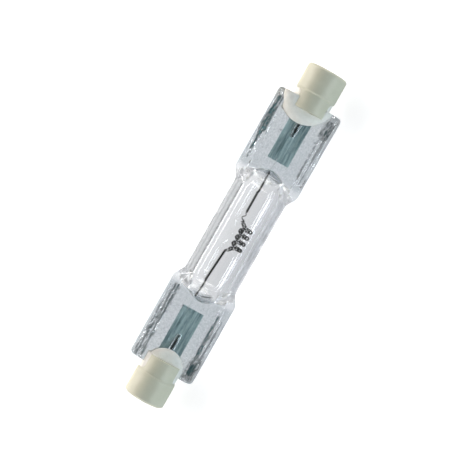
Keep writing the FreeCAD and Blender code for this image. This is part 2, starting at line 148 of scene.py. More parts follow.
def placed(piece, material, node):
    # one material, riding on the lamp, standing for its node
    piece.data.materials.clear()
    piece.data.materials.append(material)
    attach(piece, "root")
    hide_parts(node)


def writeField(mesh, name, values):
    mesh.attributes.new(name, "FLOAT", "POINT").data.foreach_set("value", values.astype(np.float32))


def eased(share):
    # from 0 to 1, level at both ends
    share = np.clip(share, 0, 1)
    return share * share * (3 - 2 * share)


def ripples(u, v, seed, fine, count=18):
    # a sum of sines with random slants and phases: between about -1 and 1
    chance = np.random.default_rng(seed)
    slant = 0.55
    total = np.zeros(np.broadcast(u, v).shape)
    for _ in range(count):
        along, across, phase = chance.normal(0, slant), chance.normal(0, fine), chance.uniform(0, tau)
        total += np.sin(along * u + across * v + phase)
    return total / math.sqrt(count)


def unit(vectors):
    return vectors / np.linalg.norm(vectors, axis=-1, keepdims=True)


def pathLength(line):
    return np.linalg.norm(np.diff(line, axis=0), axis=1).sum()


def evenly(line, count):
    # the same line with points at even distances
    steps = np.linalg.norm(np.diff(line, axis=0), axis=1)
    run = np.concatenate([[0], np.cumsum(steps)])
    at = np.linspace(0, run[-1], count)
    return np.stack([np.interp(at, run, line[:, n]) for n in range(3)], -1)


def smoothPath(knots, count):
    # a line through all knots: each stretch is a cubic whose ends follow the neighbours, spread evenly
    knots = np.array(knots, float)
    ends = np.concatenate([[2 * knots[0] - knots[1]], knots, [2 * knots[-1] - knots[-2]]])
    spans, stepsPerSpan = len(knots) - 1, 40
    at = np.linspace(0, spans, spans * stepsPerSpan + 1)
    span = np.minimum(at.astype(int), spans - 1)
    t = (at - span)[:, None]
    before, here, there, after = (ends[span + n] for n in range(4))
    line = 0.5 * (2 * here + (there - before) * t + (2 * before - 5 * here + 4 * there - after) * t ** 2
                  + (3 * here - before - 3 * there + after) * t ** 3)
    return evenly(line, count)


def spokesAbout(side, up, angle):
    # unit vectors at an angle in the plane of two others
    return side * np.cos(angle)[:, None] + up * np.sin(angle)[:, None]


def wireGrid(path, radius, across, sides):
    # a circle carried along a path, with rounded ends: across gives roughly where each circle starts
    ahead = unit(np.gradient(path, axis=0))
    side = unit(across - ahead * (across * ahead).sum(-1, keepdims=True))
    up = np.cross(ahead, side)
    radius = np.broadcast_to(radius, len(path)).astype(float)
    path, side, up = (np.concatenate([w[:1], w[:1], w, w[-1:], w[-1:]]) for w in (path, side, up))
    endShare = 0.7
    radius = np.concatenate([[0, radius[0] * endShare], radius, [radius[-1] * endShare, 0]])
    angle = np.linspace(0, tau, sides, endpoint=False)
    return path[:, None] + spokesAbout(side[:, None], up[:, None], angle) * radius[:, None, None]


def turnedGrid(places, radii, sides):
    # a half section turned about the lamp's axis: places along it and their radii
    angle = np.linspace(0, tau, sides, endpoint=False)
    places, radii = np.array(places, float)[:, None], np.array(radii, float)[:, None]
    x = np.broadcast_to(places, (len(places), sides))
    return np.stack([x, radii * np.cos(angle), radii * np.sin(angle)], -1)


# Node helpers

def addNode(tree, kind, inputs=None, **settings):
    # a node with its settings, whose inputs take plain values or other nodes' sockets
    node = tree.nodes.new(kind)
    for label, value in settings.items():
        setattr(node, label, value)
    for label, given in (inputs or {}).items():
        if isinstance(given, bpy.types.NodeSocket):
            tree.links.new(given, node.inputs[label])
        else:
            node.inputs[label].default_value = given
    return node


def mathOf(tree, operation, *inputs):
    return addNode(tree, "ShaderNodeMath", dict(enumerate(inputs)), operation=operation).outputs[0]


def colorBlend(tree, share, first, second):
    return addNode(tree, "ShaderNodeMix", {0: share, 6: first, 7: second}, data_type="RGBA").outputs[2]


def carriedOver(tree, value, low, high, toLow=0.0, toHigh=1.0):
    # the stretch from low to high carried over to another
    inputs = {"Value": value, "From Min": low, "From Max": high, "To Min": toLow, "To Max": toHigh}
    return addNode(tree, "ShaderNodeMapRange", inputs).outputs["Result"]


def bumpOf(tree, strength, height, distance=0.0001):
    inputs = {"Strength": strength, "Height": height, "Distance": distance}
    return addNode(tree, "ShaderNodeBump", inputs).outputs["Normal"]


def attributeOf(tree, name):
    return addNode(tree, "ShaderNodeAttribute", attribute_name=name).outputs["Fac"]


def objectPlace(tree):
    return addNode(tree, "ShaderNodeTexCoord").outputs["Object"]


def shaderGroup(name, inputs, outputs):
    # an empty node group with its sockets: a value makes a colour or a number, outputs are given by kind
    group = bpy.data.node_groups.new(name, "ShaderNodeTree")
    for label, value in inputs.items():
        kind = "NodeSocketColor" if isinstance(value, tuple) else "NodeSocketFloat"
        group.interface.new_socket(name=label, in_out="INPUT", socket_type=kind).default_value = value
    for label, kind in outputs.items():
        group.interface.new_socket(name=label, in_out="OUTPUT", socket_type="NodeSocket" + kind)
    return group, group.nodes.new("NodeGroupInput").outputs, group.nodes.new("NodeGroupOutput").inputs


def giveOut(group, put, **outputs):
    for label, socket in outputs.items():
        group.links.new(socket, put[label])


# Materials

noiseSpread = (0.3, 0.7)


def mottleGroup():
    # fine grain, soft blotches and a bump from both, at the sizes given in millimetres
    group, given, put = shaderGroup(
        "mottle",
        {"Grain Size": 0.3, "Blotch Size": 2.0,
         "Light": (1, 1, 1, 1), "Dark": (0.5, 0.5, 0.5, 1), "Bump": 0.1},
        {"Color": "Color", "Grain": "Float", "Blotch": "Float", "Normal": "Vector"})
    place, grainShare = objectPlace(group), 0.35
    fields = {}
    for label in ("Grain", "Blotch"):
        scale = mathOf(group, "DIVIDE", 1000, given[label + " Size"])
        noise = addNode(group, "ShaderNodeTexNoise", {"Vector": place, "Scale": scale, "Detail": 3})
        fields[label] = carriedOver(group, noise.outputs["Fac"], *noiseSpread)
    blotch = mathOf(group, "MULTIPLY", fields["Blotch"], 1 - grainShare)
    both = mathOf(group, "MULTIPLY_ADD", fields["Grain"], grainShare, blotch)
    giveOut(group, put, Color=colorBlend(group, both, given["Dark"], given["Light"]),
            Normal=bumpOf(group, given["Bump"], both), **fields)
    return group


def drawnGroup():
    # lengthwise lines, as on drawn wire and rolled foil: colours from dark to light, and a bump
    group, given, put = shaderGroup(
        "drawnLines",
        {"Light": (1, 1, 1, 1), "Dark": (0.5, 0.5, 0.5, 1), "Contrast": 0.2, "Bump": 0.3},
        {"Color": "Color", "Grain": "Float", "Normal": "Vector"})
    alongScale, acrossScale = 130, 1500
    level = addNode(group, "ShaderNodeMapping",
                    {"Vector": objectPlace(group), "Rotation": (-restTurn, 0, 0)})
    stretch = addNode(group, "ShaderNodeMapping",
                      {"Vector": level.outputs[0], "Scale": (alongScale, acrossScale, acrossScale)})
    lines = addNode(group, "ShaderNodeTexNoise", {"Vector": stretch.outputs[0], "Scale": 1.0, "Detail": 4,
                                                  "Roughness": 0.65}).outputs["Fac"]
    middle = 0.5
    grain = carriedOver(group, lines, mathOf(group, "SUBTRACT", middle, given["Contrast"]),
                        mathOf(group, "ADD", middle, given["Contrast"]))
    giveOut(group, put, Color=colorBlend(group, grain, given["Dark"], given["Light"]), Grain=grain,
            Normal=bumpOf(group, given["Bump"], lines))
    return group


def pressMarks():
    # the seals' grain and faint tint, which is painted shade, and painted dark lines that stand in for
    # dark reflections
    group, given, put = shaderGroup(
        "pressMarks",
        {"Clear": (1, 1, 1, 1), "Pressed": (0.9, 0.93, 0.95, 1),
         "Painted Dark": (0.2, 0.2, 0.2, 1), "Bump": 0.4},
        {"Color": "Color", "Roughness": "Float", "Normal": "Vector"})
    pressedAndShaded, paintedDark, frost = (attributeOf(group, name) for name in ("pressedAndShaded", "paintedDark", "frost"))
    grain = addNode(group, "ShaderNodeTexNoise", {"Vector": objectPlace(group), "Scale": 3200,
                                                  "Detail": 2}).outputs["Fac"]
    leastTint, pressedHaze, paintedDarkHaze, bumpHeight = 0.45, 0.05, 0.25, 0.00002
    patchy = carriedOver(group, grain, *noiseSpread, leastTint, 1.0)
    # painted shade: the seals and the tube's one side are tinted grey, for the darker surroundings seen
    # through them
    tint = colorBlend(group, mathOf(group, "MULTIPLY", pressedAndShaded, patchy), given["Clear"], given["Pressed"])
    haze = mathOf(group, "MULTIPLY_ADD", pressedAndShaded, pressedHaze, frost)
    strength = mathOf(group, "MULTIPLY", pressedAndShaded, given["Bump"])
    # painted dark lines over the tint, standing in for dark reflections in the glass
    giveOut(group, put, Color=colorBlend(group, paintedDark, tint, given["Painted Dark"]),
            Roughness=mathOf(group, "MULTIPLY_ADD", paintedDark, paintedDarkHaze, haze),
            Normal=bumpOf(group, strength, grain, bumpHeight))
    return group


mottle, drawnLines, pressedAndShaded = mottleGroup(), drawnGroup(), pressMarks()


def newMaterial(name, **values):
    material = bpy.data.materials.new(name)
    material.use_nodes = True
    shader = material.node_tree.nodes["Principled BSDF"]
    for label, value in values.items():
        shader.inputs[label.replace("_", " ")].default_value = value
    return material, material.node_tree, shader


def finishedMaterial(name, group, rough, given, **values):
    # a material whose colour and bump come from a shared group, and its roughness from the group's grain
    material, tree, shader = newMaterial(name, **values)
    finish = addNode(tree, "ShaderNodeGroup", given, node_tree=group)
    tree.links.new(finish.outputs["Color"], shader.inputs["Base Color"])
    tree.links.new(finish.outputs["Normal"], shader.inputs["Normal"])
    tree.links.new(carriedOver(tree, finish.outputs["Grain"], 0, 1, *rough), shader.inputs["Roughness"])
    return material


def mottledMaterial(name, light, dark, grain, blotch, bump, rough, **values):
    given = {"Light": (*light, 1), "Dark": (*dark, 1), "Bump": bump,
             "Grain Size": grain, "Blotch Size": blotch}
    return finishedMaterial(name, mottle, rough, given, **values)


def drawnMaterial(name, light, dark, contrast, bump, rough, **values):
    given = {"Light": (*light, 1), "Dark": (*dark, 1), "Contrast": contrast, "Bump": bump}
    return finishedMaterial(name, drawnLines, rough, given, **values)


def quartzMaterial():
    material, tree, shader = newMaterial("clearQuartz", IOR=1.46, Transmission_Weight=1.0)
    marks = addNode(tree, "ShaderNodeGroup", {
        # the dark colour is painted dark reflection, the grey one painted shade
        "Clear": (0.98, 0.983, 0.99, 1),
        "Painted Dark": (0.002, 0.012, 0.014, 1),
        "Pressed": (0.50, 0.545, 0.58, 1),
    }, node_tree=pressedAndShaded)
    for label, target in (("Color", "Base Color"), ("Roughness", "Roughness"), ("Normal", "Normal")):
        tree.links.new(marks.outputs[label], shader.inputs[target])
    # lamps reach what is behind the glass, and a path that is caught in the glass for long leaves it
    longestPath = 4.5
    path = addNode(tree, "ShaderNodeLightPath").outputs
    deep = mathOf(tree, "GREATER_THAN", path["Ray Depth"], longestPath)
    either = mathOf(tree, "MAXIMUM", deep, path["Is Shadow Ray"])
    through = addNode(tree, "ShaderNodeBsdfTransparent", {"Color": (0.945, 0.95, 0.96, 1)})
    blend = addNode(tree, "ShaderNodeMixShader", {0: either, 1: shader.outputs[0], 2: through.outputs[0]})
    tree.links.new(blend.outputs[0], tree.nodes["Material Output"].inputs["Surface"])
    return material


def brightenBare(material, color):
    # the wire is bright where the glass has kept the air from it
    tree = material.node_tree
    base = tree.nodes["Principled BSDF"].inputs["Base Color"]
    drawn = base.links[0].from_socket
    tree.links.new(colorBlend(tree, attributeOf(tree, "bare"), drawn, (*color, 1)), base)


quartzGlass = quartzMaterial()
ivoryCeramic = mottledMaterial("ivoryCeramic", light=(0.70, 0.665, 0.525), dark=(0.63, 0.595, 0.455),
                               grain=0.12, blotch=2.2, bump=0.25, rough=(0.34, 0.5))
mattCement = mottledMaterial("mattCement", light=(0.97, 0.93, 0.86), dark=(0.82, 0.775, 0.70),
                             grain=0.14, blotch=1.1, bump=0.9, rough=(0.75, 0.95))
turnedNickel = mottledMaterial("turnedNickel", light=(0.62, 0.62, 0.60), dark=(0.48, 0.48, 0.46),
                               grain=0.08, blotch=0.9, bump=0.2, rough=(0.22, 0.4), Metallic=1.0)
darkTungsten = drawnMaterial("darkTungsten", light=(0.012, 0.013, 0.013), dark=(0.003, 0.004, 0.004),
                             contrast=0.2, bump=0.2, rough=(0.5, 0.65),
                             Metallic=0.1, Specular_IOR_Level=0.15)
leadWire = drawnMaterial("leadWire", light=(0.012, 0.013, 0.013), dark=(0.004, 0.005, 0.005),
                         contrast=0.2, bump=0.2, rough=(0.4, 0.55),
                         Metallic=0.1, Specular_IOR_Level=0.15)
tealFoil = drawnMaterial("tealFoil", light=(0.56, 0.71, 0.70), dark=(0.11, 0.17, 0.175),
                         contrast=0.17, bump=0.8, rough=(0.32, 0.5), Metallic=0.35)
pinMetal = drawnMaterial("pinMetal", light=(0.035, 0.042, 0.044), dark=(0.007, 0.009, 0.010),
                         contrast=0.2, bump=0.3, rough=(0.3, 0.42), Metallic=0.5)
brightenBare(leadWire, (0.55, 0.57, 0.57))
print("materials ready")


# Quartz envelope: outer skin with both seals and the exhaust tip, the bore, and the gaps round the pins

def sealQuarter():
    # a quarter of the seal's section, from the middle of its side to the middle of its face: a round
    # bead, the fall beside it and the flat, with the angle of each point on the tube's circle
    half, ridge, flat = glass["sealWidth"] / 2, glass["ridgeThickness"] / 2, glass["flatThickness"] / 2
    beadHalf, power, slope = glass["ridgeWidth"] / 2, glass["ridgePower"], glass["ridgeSlope"]
    beadSteps, slopeSteps, flatSteps = 26, 8, 14
    turn = np.linspace(0, glass["ridgeSweep"] * math.pi, beadSteps)
    bead = np.stack([half - beadHalf + beadHalf * np.sign(np.cos(turn)) * np.abs(np.cos(turn)) ** power,
                     ridge * np.sin(turn) ** power], -1)
    last = bead[-1]
    fall = np.linspace(0, 1, slopeSteps + 1)[1:]
    side = np.stack([last[0] - slope * fall, last[1] + (flat - last[1]) * np.sin(fall * math.pi / 2)], -1)
    face = np.stack([np.linspace(last[0] - slope, 0, flatSteps + 1)[1:], np.full(flatSteps, flat)], -1)
    points = np.concatenate([bead, side, face])
    angle = np.arccos(np.clip(points[:, 0] / half, 0, 1))
    # the first few are evened out, because the arc is steep there
    evened = 7
    angle[:evened] = np.linspace(0, angle[evened], evened + 1)[:-1]
    return points, angle


def alongTube(closeReach, closeStep, step):
    # places on half of the straight part, closer together over the exhaust tip
    close = np.arange(0, closeReach, closeStep)
    return np.concatenate([close, np.arange(closeReach, glass["straightHalf"], step)])


def bothEnds(right):
    # the right half's rings, with their mirror images before them
    return np.concatenate([right[:0:-1] * [-1, 1, 1], right])


def slopeRun(places, across):
    # how far the slope has come: it is shorter at the sides than in the middle, so it ends in an arc
    length = glass["slopeLength"] - glass["slopeBow"] * across ** 2
    return eased((places - glass["straightHalf"]) / length)


def outerSkin():
    # at each place along the lamp, the circle passes into the seal's section, sooner across than through
    points, angle = sealQuarter()
    straight, slope, radius = glass["straightHalf"], glass["slopeLength"], glass["tubeRadius"]
    end, corner = glass["sealEnd"], glass["endCorner"]
    slopeRings, sealRings, cornerRings = 30, 90, 6
    sloping = straight + np.linspace(0, slope, slopeRings)
    along = np.linspace(straight + slope, end - corner, sealRings)[1:]
    x = np.concatenate([alongTube(closeReach=3.0, closeStep=0.12, step=0.5), sloping, along])[:, None]
    shareAcross = eased((x - straight) / glass["acrossLength"])
    shareThrough = slopeRun(x, points[:, 0] / points[0, 0])
    y = (1 - shareAcross) * radius * np.cos(angle) + shareAcross * points[:, 0]
    z = (1 - shareThrough) * radius * np.sin(angle) + shareThrough * points[:, 1]
    y = np.concatenate([y, -y[:, -2::-1], -y[:, 1:], y[:, -2:0:-1]], 1)
    z = np.concatenate([z, z[:, -2::-1], -z[:, 1:], -z[:, -2:0:-1]], 1)
    side = np.stack([np.broadcast_to(x, y.shape), y, z], -1)
    lids, last = [], side[-1]
    for turn in np.linspace(0, math.pi / 2, cornerRings + 1)[1:]:
        # the end's edge is rounded: the section draws in while it runs out
        ring = last.copy()
        draw = corner * (1 - math.cos(turn))
        ring[:, 0] = end - corner + corner * math.sin(turn)
        for n, part in ((1, 1), (2, glass["endFlattening"])):
            ring[:, n] -= np.sign(last[:, n]) * np.minimum(draw * part, np.abs(last[:, n]))
        lids.append(ring)
    rim = lids[-1]
    lids += [rim * [1, share, share] for share in (0.8, 0.6, 0.4, 0.2, 0)]
    whole = bothEnds(np.concatenate([side, np.array(lids)]))
    return whole + sealRipples(whole)


def movedBack(points, amount):
    # moves the points on the back by an amount, outwards
    return points - np.stack([0 * amount, 0 * amount, amount * (points[..., 2] < 0)], -1)


def sealRipples(skin):
    # lengthwise ripples that the press leaves: deep on the beads, faint on the flats, none at the ends
    x, y, z = skin[..., 0], skin[..., 1], skin[..., 2]
    ripple = glass["ripple"]
    start = (np.abs(x) - glass["straightHalf"] - ripple["startRun"]) / ripple["startRun"]
    onSeal = eased(start) * eased((glass["sealEnd"] - np.abs(x)) / ripple["endRun"])
    onBead = eased((np.abs(y) - ripple["beadFrom"]) / ripple["beadRun"])
    ownBack = np.where(z > 0, 0.0, 40.0)  # the back has other waves than the front
    coarse = ripples(x * 0.35, y + ownBack, seed=3, fine=4.0)
    fine = ripples(x * 0.7, y + ownBack, seed=4, fine=11.0)
    deep = onBead * (ripple["coarse"] * coarse + ripple["fine"] * fine) + ripple["onFlat"] * coarse
    return np.stack([0 * x, 0 * y, -np.abs(ripple["depth"] * onSeal * deep) * np.sign(z)], -1)


def tipLift(points):
    # a round nub on a wide flare, which ends before the line on which the tube rests
    tip = glass["tip"]
    away = np.hypot(points[..., 0], points[..., 1])
    nub = tip["nub"] * np.exp(-(away / tip["radius"]) ** 2)
    skirt = tip["skirt"] * np.exp(-(away / tip["flare"]) ** 2)
    return (nub + skirt) * eased((tip["reach"] - away) / tip["fade"])


def boreSkin():
    # a circle that passes into a flat oval, whose end is an arc, furthest out in its middle
    bore, straight, slope = glass["bore"], glass["straightHalf"], glass["slopeLength"]
    radius, sides, slopeRings = glass["tubeRadius"] - glass["wall"], 96, 22
    angle = np.linspace(0, tau, sides, endpoint=False)
    half = np.concatenate([alongTube(closeReach=5.0, closeStep=0.15, step=0.8),
                           straight + np.linspace(0, slope, slopeRings)])
    share = eased((half - straight) / slope)[:, None]
    y = ((1 - share) * radius + share * bore["endWide"]) * np.cos(angle)
    z = ((1 - share) * radius + share * bore["endThick"]) * np.sin(angle)
    x = half[:, None] - share * bore["arc"] * np.abs(np.cos(angle)) ** bore["arcPower"] + 0 * angle
    right = np.stack([x, y, z], -1)
    last = right[-1]
    lids = [last * [1, wide, thick] + [run, 0, 0] for wide, thick, run in bore["closing"]]
    lids.append(last * [0, 0, 0] + [last[:, 0].max() + bore["point"], 0, 0])
    return bothEnds(np.concatenate([right, np.array(lids)]))


pin = {
    "tip": 23.6,
    "end": 35.3,
    "radius": 0.4,
    # the drawn weld: steps from the tip and radii
    "weld": [(0, 0), (0, 0.14), (0.08, 0.24), (0.25, 0.29), (0.42, 0.24), (0.62, 0.13), (0.85, 0.14),
             (1.0, 0.26), (1.15, 0.36)],
    "plainFrom": 1.35,
    "gapRadius": 0.68,
    # the round end of the gap in the glass, and how far its other end stays inside
    "gapTip": [(-0.12, 0), (-0.12, 0.22), (-0.04, 0.36), (0.1, 0.5), (0.8, 0.62)],
    "gapPlainFrom": 2,
    "gapInside": 0.05,
}


def turnedRod(side, profile, plainFrom, end, radius, steps, sides):
    # a shaped tip, then a plain stretch, turned about the lamp's axis
    plain = np.linspace(pin["tip"] + plainFrom, end, steps)
    places = [pin["tip"] + run for run, _ in profile] + [*plain, end]
    radii = [reach for _, reach in profile] + [radius] * steps + [0]
    return turnedGrid(side * np.array(places), radii, sides)


def pinGap(side):
    # the narrow gap round a pin, from the welded end nearly to the end of the seal
    end = glass["sealEnd"] - pin["gapInside"]
    return turnedRod(side, pin["gapTip"], pin["gapPlainFrom"], end, pin["gapRadius"], steps=12, sides=32)


# seals, dull zones, painted shade and painted dark lines: where each begins, how far it fades, and its
# share
press = {
    "seal": {"from": 2.5, "run": 2.0},
    "paintedShadeSide": {"from": 3.9, "run": 0.8, "share": 0.55},
    "corner": {"at": 12.9, "half": 1.7, "across": 3.2, "dull": 0.22},
    "boreEnd": {"at": 14.7, "half": 0.7, "across": 4.2, "dull": 0.08},
    "fade": 1.2,
    "wanderFrom": 11,
    # marks wander from this length on, and a round one is as long as this many half widths
    "longFrom": 1.5,
    "longRun": 2,
    "roundLength": 4,
    "wander": 0.10,
    "swell": 0.45,
    "wide": 0.3,
    "loss": 0.06,
    "breaks": 0.3,
    "speckle": 0.45,
    "edge": 0.16,
}
# painted dark lines on the front, for dark reflections: start and end along and across the lamp, half
# width, darkness
paintedDarkLines = [
    # beads at the right end
    ((17.6, 6.45), (29.6, 6.5), 0.42, 1.0),
    ((22.0, 5.85), (30.2, 5.8), 0.20, 0.9),
    ((15.7, 6.3), (16.8, 6.25), 0.16, 0.8),
    ((27.0, -5.55), (29.4, -5.55), 0.95, 0.97),
    ((17.0, -5.05), (27.5, -5.0), 0.17, 0.8),
    ((15.0, -5.9), (27.5, -6.1), 0.17, 0.6),
    # beads at the left end
    ((-30.6, 5.8), (-15.0, 5.8), 0.98, 0.85),
    ((-29.5, 5.4), (-17.0, 5.4), 0.17, 0.75),
    ((-30.5, -5.6), (-27.0, -5.75), 1.15, 1.0),
    ((-29.8, -5.5), (-28.0, -5.6), 0.5, 1.0),
    ((-27.5, -5.3), (-16.5, -5.15), 0.34, 1.0),
    ((-30.0, -6.2), (-17.0, -6.2), 0.18, 0.6),
    # the seals' outer edges
    ((15.0, 7.2), (31.3, 7.2), 0.05, 0.45),
    ((15.0, -7.0), (31.3, -7.0), 0.05, 0.4),
    ((-31.3, 7.0), (-15.0, 7.0), 0.05, 0.35),
    ((-31.3, -7.2), (-15.0, -7.2), 0.05, 0.35),
    # painted dark lines along the tube's walls
    ((-10.5, 5.2), (10.5, 5.2), 0.90, 0.22),
    ((-10.5, 5.36), (10.5, 5.36), 0.08, 0.5),
    ((-10.5, -5.2), (10.5, -5.2), 1.00, 0.16),
    ((-10.5, -5.05), (10.5, -5.05), 0.10, 0.55),
    # strokes over the ends of the bore
    ((14.4, 1.3), (14.6, -0.1), 0.06, 0.5),
    ((14.75, -0.1), (13.9, -2.7), 0.08, 0.7),
    ((14.2, -0.4), (13.75, -2.3), 0.07, 0.6),
    ((-14.33, 0.08), (-13.5, -1.7), 0.14, 0.75),
    ((-13.8, 0.0), (-13.1, -1.5), 0.06, 0.45),
    # specks in the flats
    ((23.8, 2.75), (23.8, 2.75), 0.16, 0.75),
    ((24.9, -4.75), (24.9, -4.75), 0.17, 0.8),
    ((18.6, -2.65), (18.6, -2.65), 0.14, 0.6),
    ((-17.8, 2.55), (-17.8, 2.55), 0.18, 0.8),
    ((-17.9, 2.1), (-17.85, 0.9), 0.06, 0.5),
]


def lineDistance(x, y, start, end):
    # how far each point is from a straight stretch
    along, across = end[0] - start[0], end[1] - start[1]
    share = ((x - start[0]) * along + (y - start[1]) * across) / max(along ** 2 + across ** 2, 1e-6)
    share = np.clip(share, 0, 1)
    return np.hypot(x - start[0] - along * share, y - start[1] - across * share)


def paintedDarkField(x, y, z):
    # the darkness of the strongest painted dark line at each point, standing in for dark reflections: long
    # and wide lines on the seals wander a little and are broken, and the widest are speckled, but the
    # tube's and the small ones are whole
    lines = ripples(x * 0.5, y, seed=7, fine=8.0, count=24)
    grain = ripples(x * 5.0, y, seed=8, fine=9.0, count=24)
    speckle = ripples(x * 7.0, y, seed=13, fine=17.0, count=24)
    drift = ripples(x * 0.9, 0 * x, seed=9, fine=1.0, count=12)
    swell = ripples(x * 2.2, 0 * x, seed=10, fine=1.0, count=12)
    dark = np.zeros(len(x))
    for start, end, half, strength in paintedDarkLines:
        length = max(math.dist(start, end), press["roundLength"] * half)
        long = eased((length - press["longFrom"]) / press["longRun"]) * (np.abs(x) > press["wanderFrom"])
        wide = max(half - press["wide"], 0)
        away = lineDistance(x, y - press["wander"] * drift * long, start, end)
        reach = half * (1 + press["swell"] * swell * long * (1 - wide))
        loss = press["loss"] - press["breaks"] * lines - press["breaks"] * grain
        kept = np.clip(1 - long * (loss + press["speckle"] * wide * (1 - speckle)), 0, 1)
        dark = np.maximum(dark, strength * eased((reach - away) / press["edge"] + 0.5) * kept * (z > 0))
    # the glass takes the square root of its colour, so the share is raised to keep the darkness
    return 1 - (1 - dark) ** 2


def dullPlace(x, place, acrossRun):
    # a dull zone at a place along the lamp, where the run across it is positive
    along = np.exp(-((np.abs(x) - place["at"]) / place["half"]) ** 4)
    return place["dull"] * along * eased(acrossRun / press["fade"])


def pressField(points):
    # how far each point lies on a pressed seal or shaded side, how dark a painted line it carries, and how
    # dull it is
    x, y, z = points.T
    seal, sideShade, corner, boreEnd = (press[name] for name in ("seal", "paintedShadeSide", "corner", "boreEnd"))
    onSeal = eased((np.abs(x) - glass["straightHalf"] - seal["from"]) / seal["run"])
    # painted shade: the tube's one side is tinted blue-grey, for the shadowed floor seen through it
    shadedSide = sideShade["share"] * eased((-y - sideShade["from"]) / sideShade["run"])
    frost = dullPlace(x, corner, np.abs(y) - corner["across"])
    frost += dullPlace(x, boreEnd, boreEnd["across"] - np.abs(y))
    return {"pressedAndShaded": np.maximum(onSeal, shadedSide), "paintedDark": paintedDarkField(x, y, z), "frost": frost}


skin, bore = outerSkin(), boreSkin()
skin = movedBack(skin, glass["tip"]["height"] * tipLift(skin))
bore = movedBack(bore, glass["tip"]["hollow"] * tipLift(bore))
envelope = meshOf("envelope", [(skin, 1), (bore, -1), (pinGap(1), -1), (pinGap(-1), -1)])
for name, values in pressField(localPoints(envelope.data)).items():
    writeField(envelope.data, name, values)
placed(envelope, quartzGlass, "quartz_envelope")
print("envelope:", len(envelope.data.polygons), "faces")

# Filament: a fine coil that is itself wound into four large turns, then a plain tail to each lead

coil = {
    "turns": 4,
    "pitch": 1.46,
    "radius": 1.02,
    "offset": -1.375,
    "comb": 0.65,
    "fineDiameter": 0.87,
    "finePitch": 0.5,
    "wire": 0.175,
    "wireSides": 9,
    "stepsPerTurn": 24,
    "stepsPerLargeTurn": 40,
    "leadHeight": -0.26,
    # the share at which the fine coil starts to widen, and what each of its turns adds
    "startShare": 0.3,
    "gainPerTurn": 2,
    # how far out the large turns reach, and over what length the fine coil turns its start to follow them
    "turnsReach": 2.9,
    "turnsFade": 0.8,
}
leads = {
    "right": {"knots": [(18.3, 0.45, -0.26), (15.6, 0.45, -0.26), (13.0, 0.45, -0.26),
                        (5.42, 0.45, -0.26)],
              "winding": (13.5, 5.5)},
    "left": {"knots": [(-18.2, 1.2, -0.26), (-16.4, 1.2, -0.26), (-14.05, 1.18, -0.26),
                       (-13.0, 1.1, -0.26), (-3.47, 0.42, -0.26)],
             "winding": (-13.0, -3.55)},
    "diameter": 0.31,
    "sides": 14,
    "beads": {"at": (15.0, -14.3), "length": 0.45, "height": 0.13},
    "buried": {"from": 14.6, "run": 0.8, "thinner": 0.4},
    "bare": {"from": 15.2, "run": 0.4},
    "windingWire": 0.18,
    "windingPitch": 0.42,
    "windingSides": 7,
    "stepsPerTurn": 14,
}


def coilAxis():
    # straight in, four large turns about a line beside the lamp's axis, straight out
    half, height = coil["turns"] * coil["pitch"] / 2, coil["leadHeight"]
    angle = np.linspace(0, coil["turns"] * tau, coil["stepsPerLargeTurn"] * coil["turns"] + 1)
    # the pitch is taken up on the side near the leads, so that the far sides stand out like a comb
    run = angle + coil["comb"] * np.sin(angle)
    turns = np.stack([half - coil["pitch"] * run / tau, coil["radius"] * np.cos(angle) + coil["offset"],
                      coil["radius"] * np.sin(angle)], -1)
    first = smoothPath([(half + 0.95, 0.42, height), (half + 0.6, 0.3, height - 0.02),
                        (half + 0.25, -0.1, -0.3), turns[2]], 30)
    last = smoothPath([turns[-3], (-half - 0.1, -0.2, 0.25), (-half - 0.35, 0.1, height + 0.1)], 14)
    line = np.concatenate([first[:-1], turns[2:-2], last[1:]])
    fine = round(pathLength(line) / coil["finePitch"])
    return evenly(line, fine * coil["stepsPerTurn"] + 1)


def filamentPath():
    # a helix about the coil's axis, which starts and ends narrow
    axis = coilAxis()
    ahead = unit(np.gradient(axis, axis=0))
    inTurns = eased((coil["turnsReach"] - np.abs(axis[:, 0])) / coil["turnsFade"] + 0.5)[:, None]
    side = unit(np.cross(ahead, inTurns * [1, 0, 0] + (1 - inTurns) * [0, 0, 1]))
    count = np.arange(len(axis))
    fromEnd = np.minimum(count, len(axis) - 1 - count) / coil["stepsPerTurn"]
    widened = eased(coil["startShare"] + coil["gainPerTurn"] * fromEnd)
    ring = (coil["fineDiameter"] - coil["wire"]) / 2 * widened
    spoke = spokesAbout(side, np.cross(ahead, side), tau * count / coil["stepsPerTurn"])
    return axis + spoke * ring[:, None], spoke


def makeFilament():
    # one wire: a plain tail, the winding and another plain tail
    winding, spoke = filamentPath()
    height = coil["leadHeight"]
    tailIn = smoothPath([(5.45, 0.45, height), (5.2, 0.44, height), (4.9, 0.18, height),
                         (4.55, 0.42, height), (4.3, 0.7, height), (4.05, 0.72, height), winding[0]], 60)
    tailOut = smoothPath([winding[-1], (-3.3, 0.3, height), (-3.47, 0.42, height),
                          (-3.6, 0.43, height)], 20)
    tailIn, tailOut = tailIn[:-1], tailOut[1:]
    path = np.concatenate([tailIn, winding, tailOut])
    first, last = np.repeat(spoke[:1], len(tailIn), 0), np.repeat(spoke[-1:], len(tailOut), 0)
    across = np.concatenate([first, spoke, last])
    wire = wireGrid(path, coil["wire"] / 2, across, coil["wireSides"])
    return meshOf("filamentCoil", [(wire, 1)], smoothAngle=80)


placed(makeFilament(), darkTungsten, "filament")


# Inner leads with their support windings

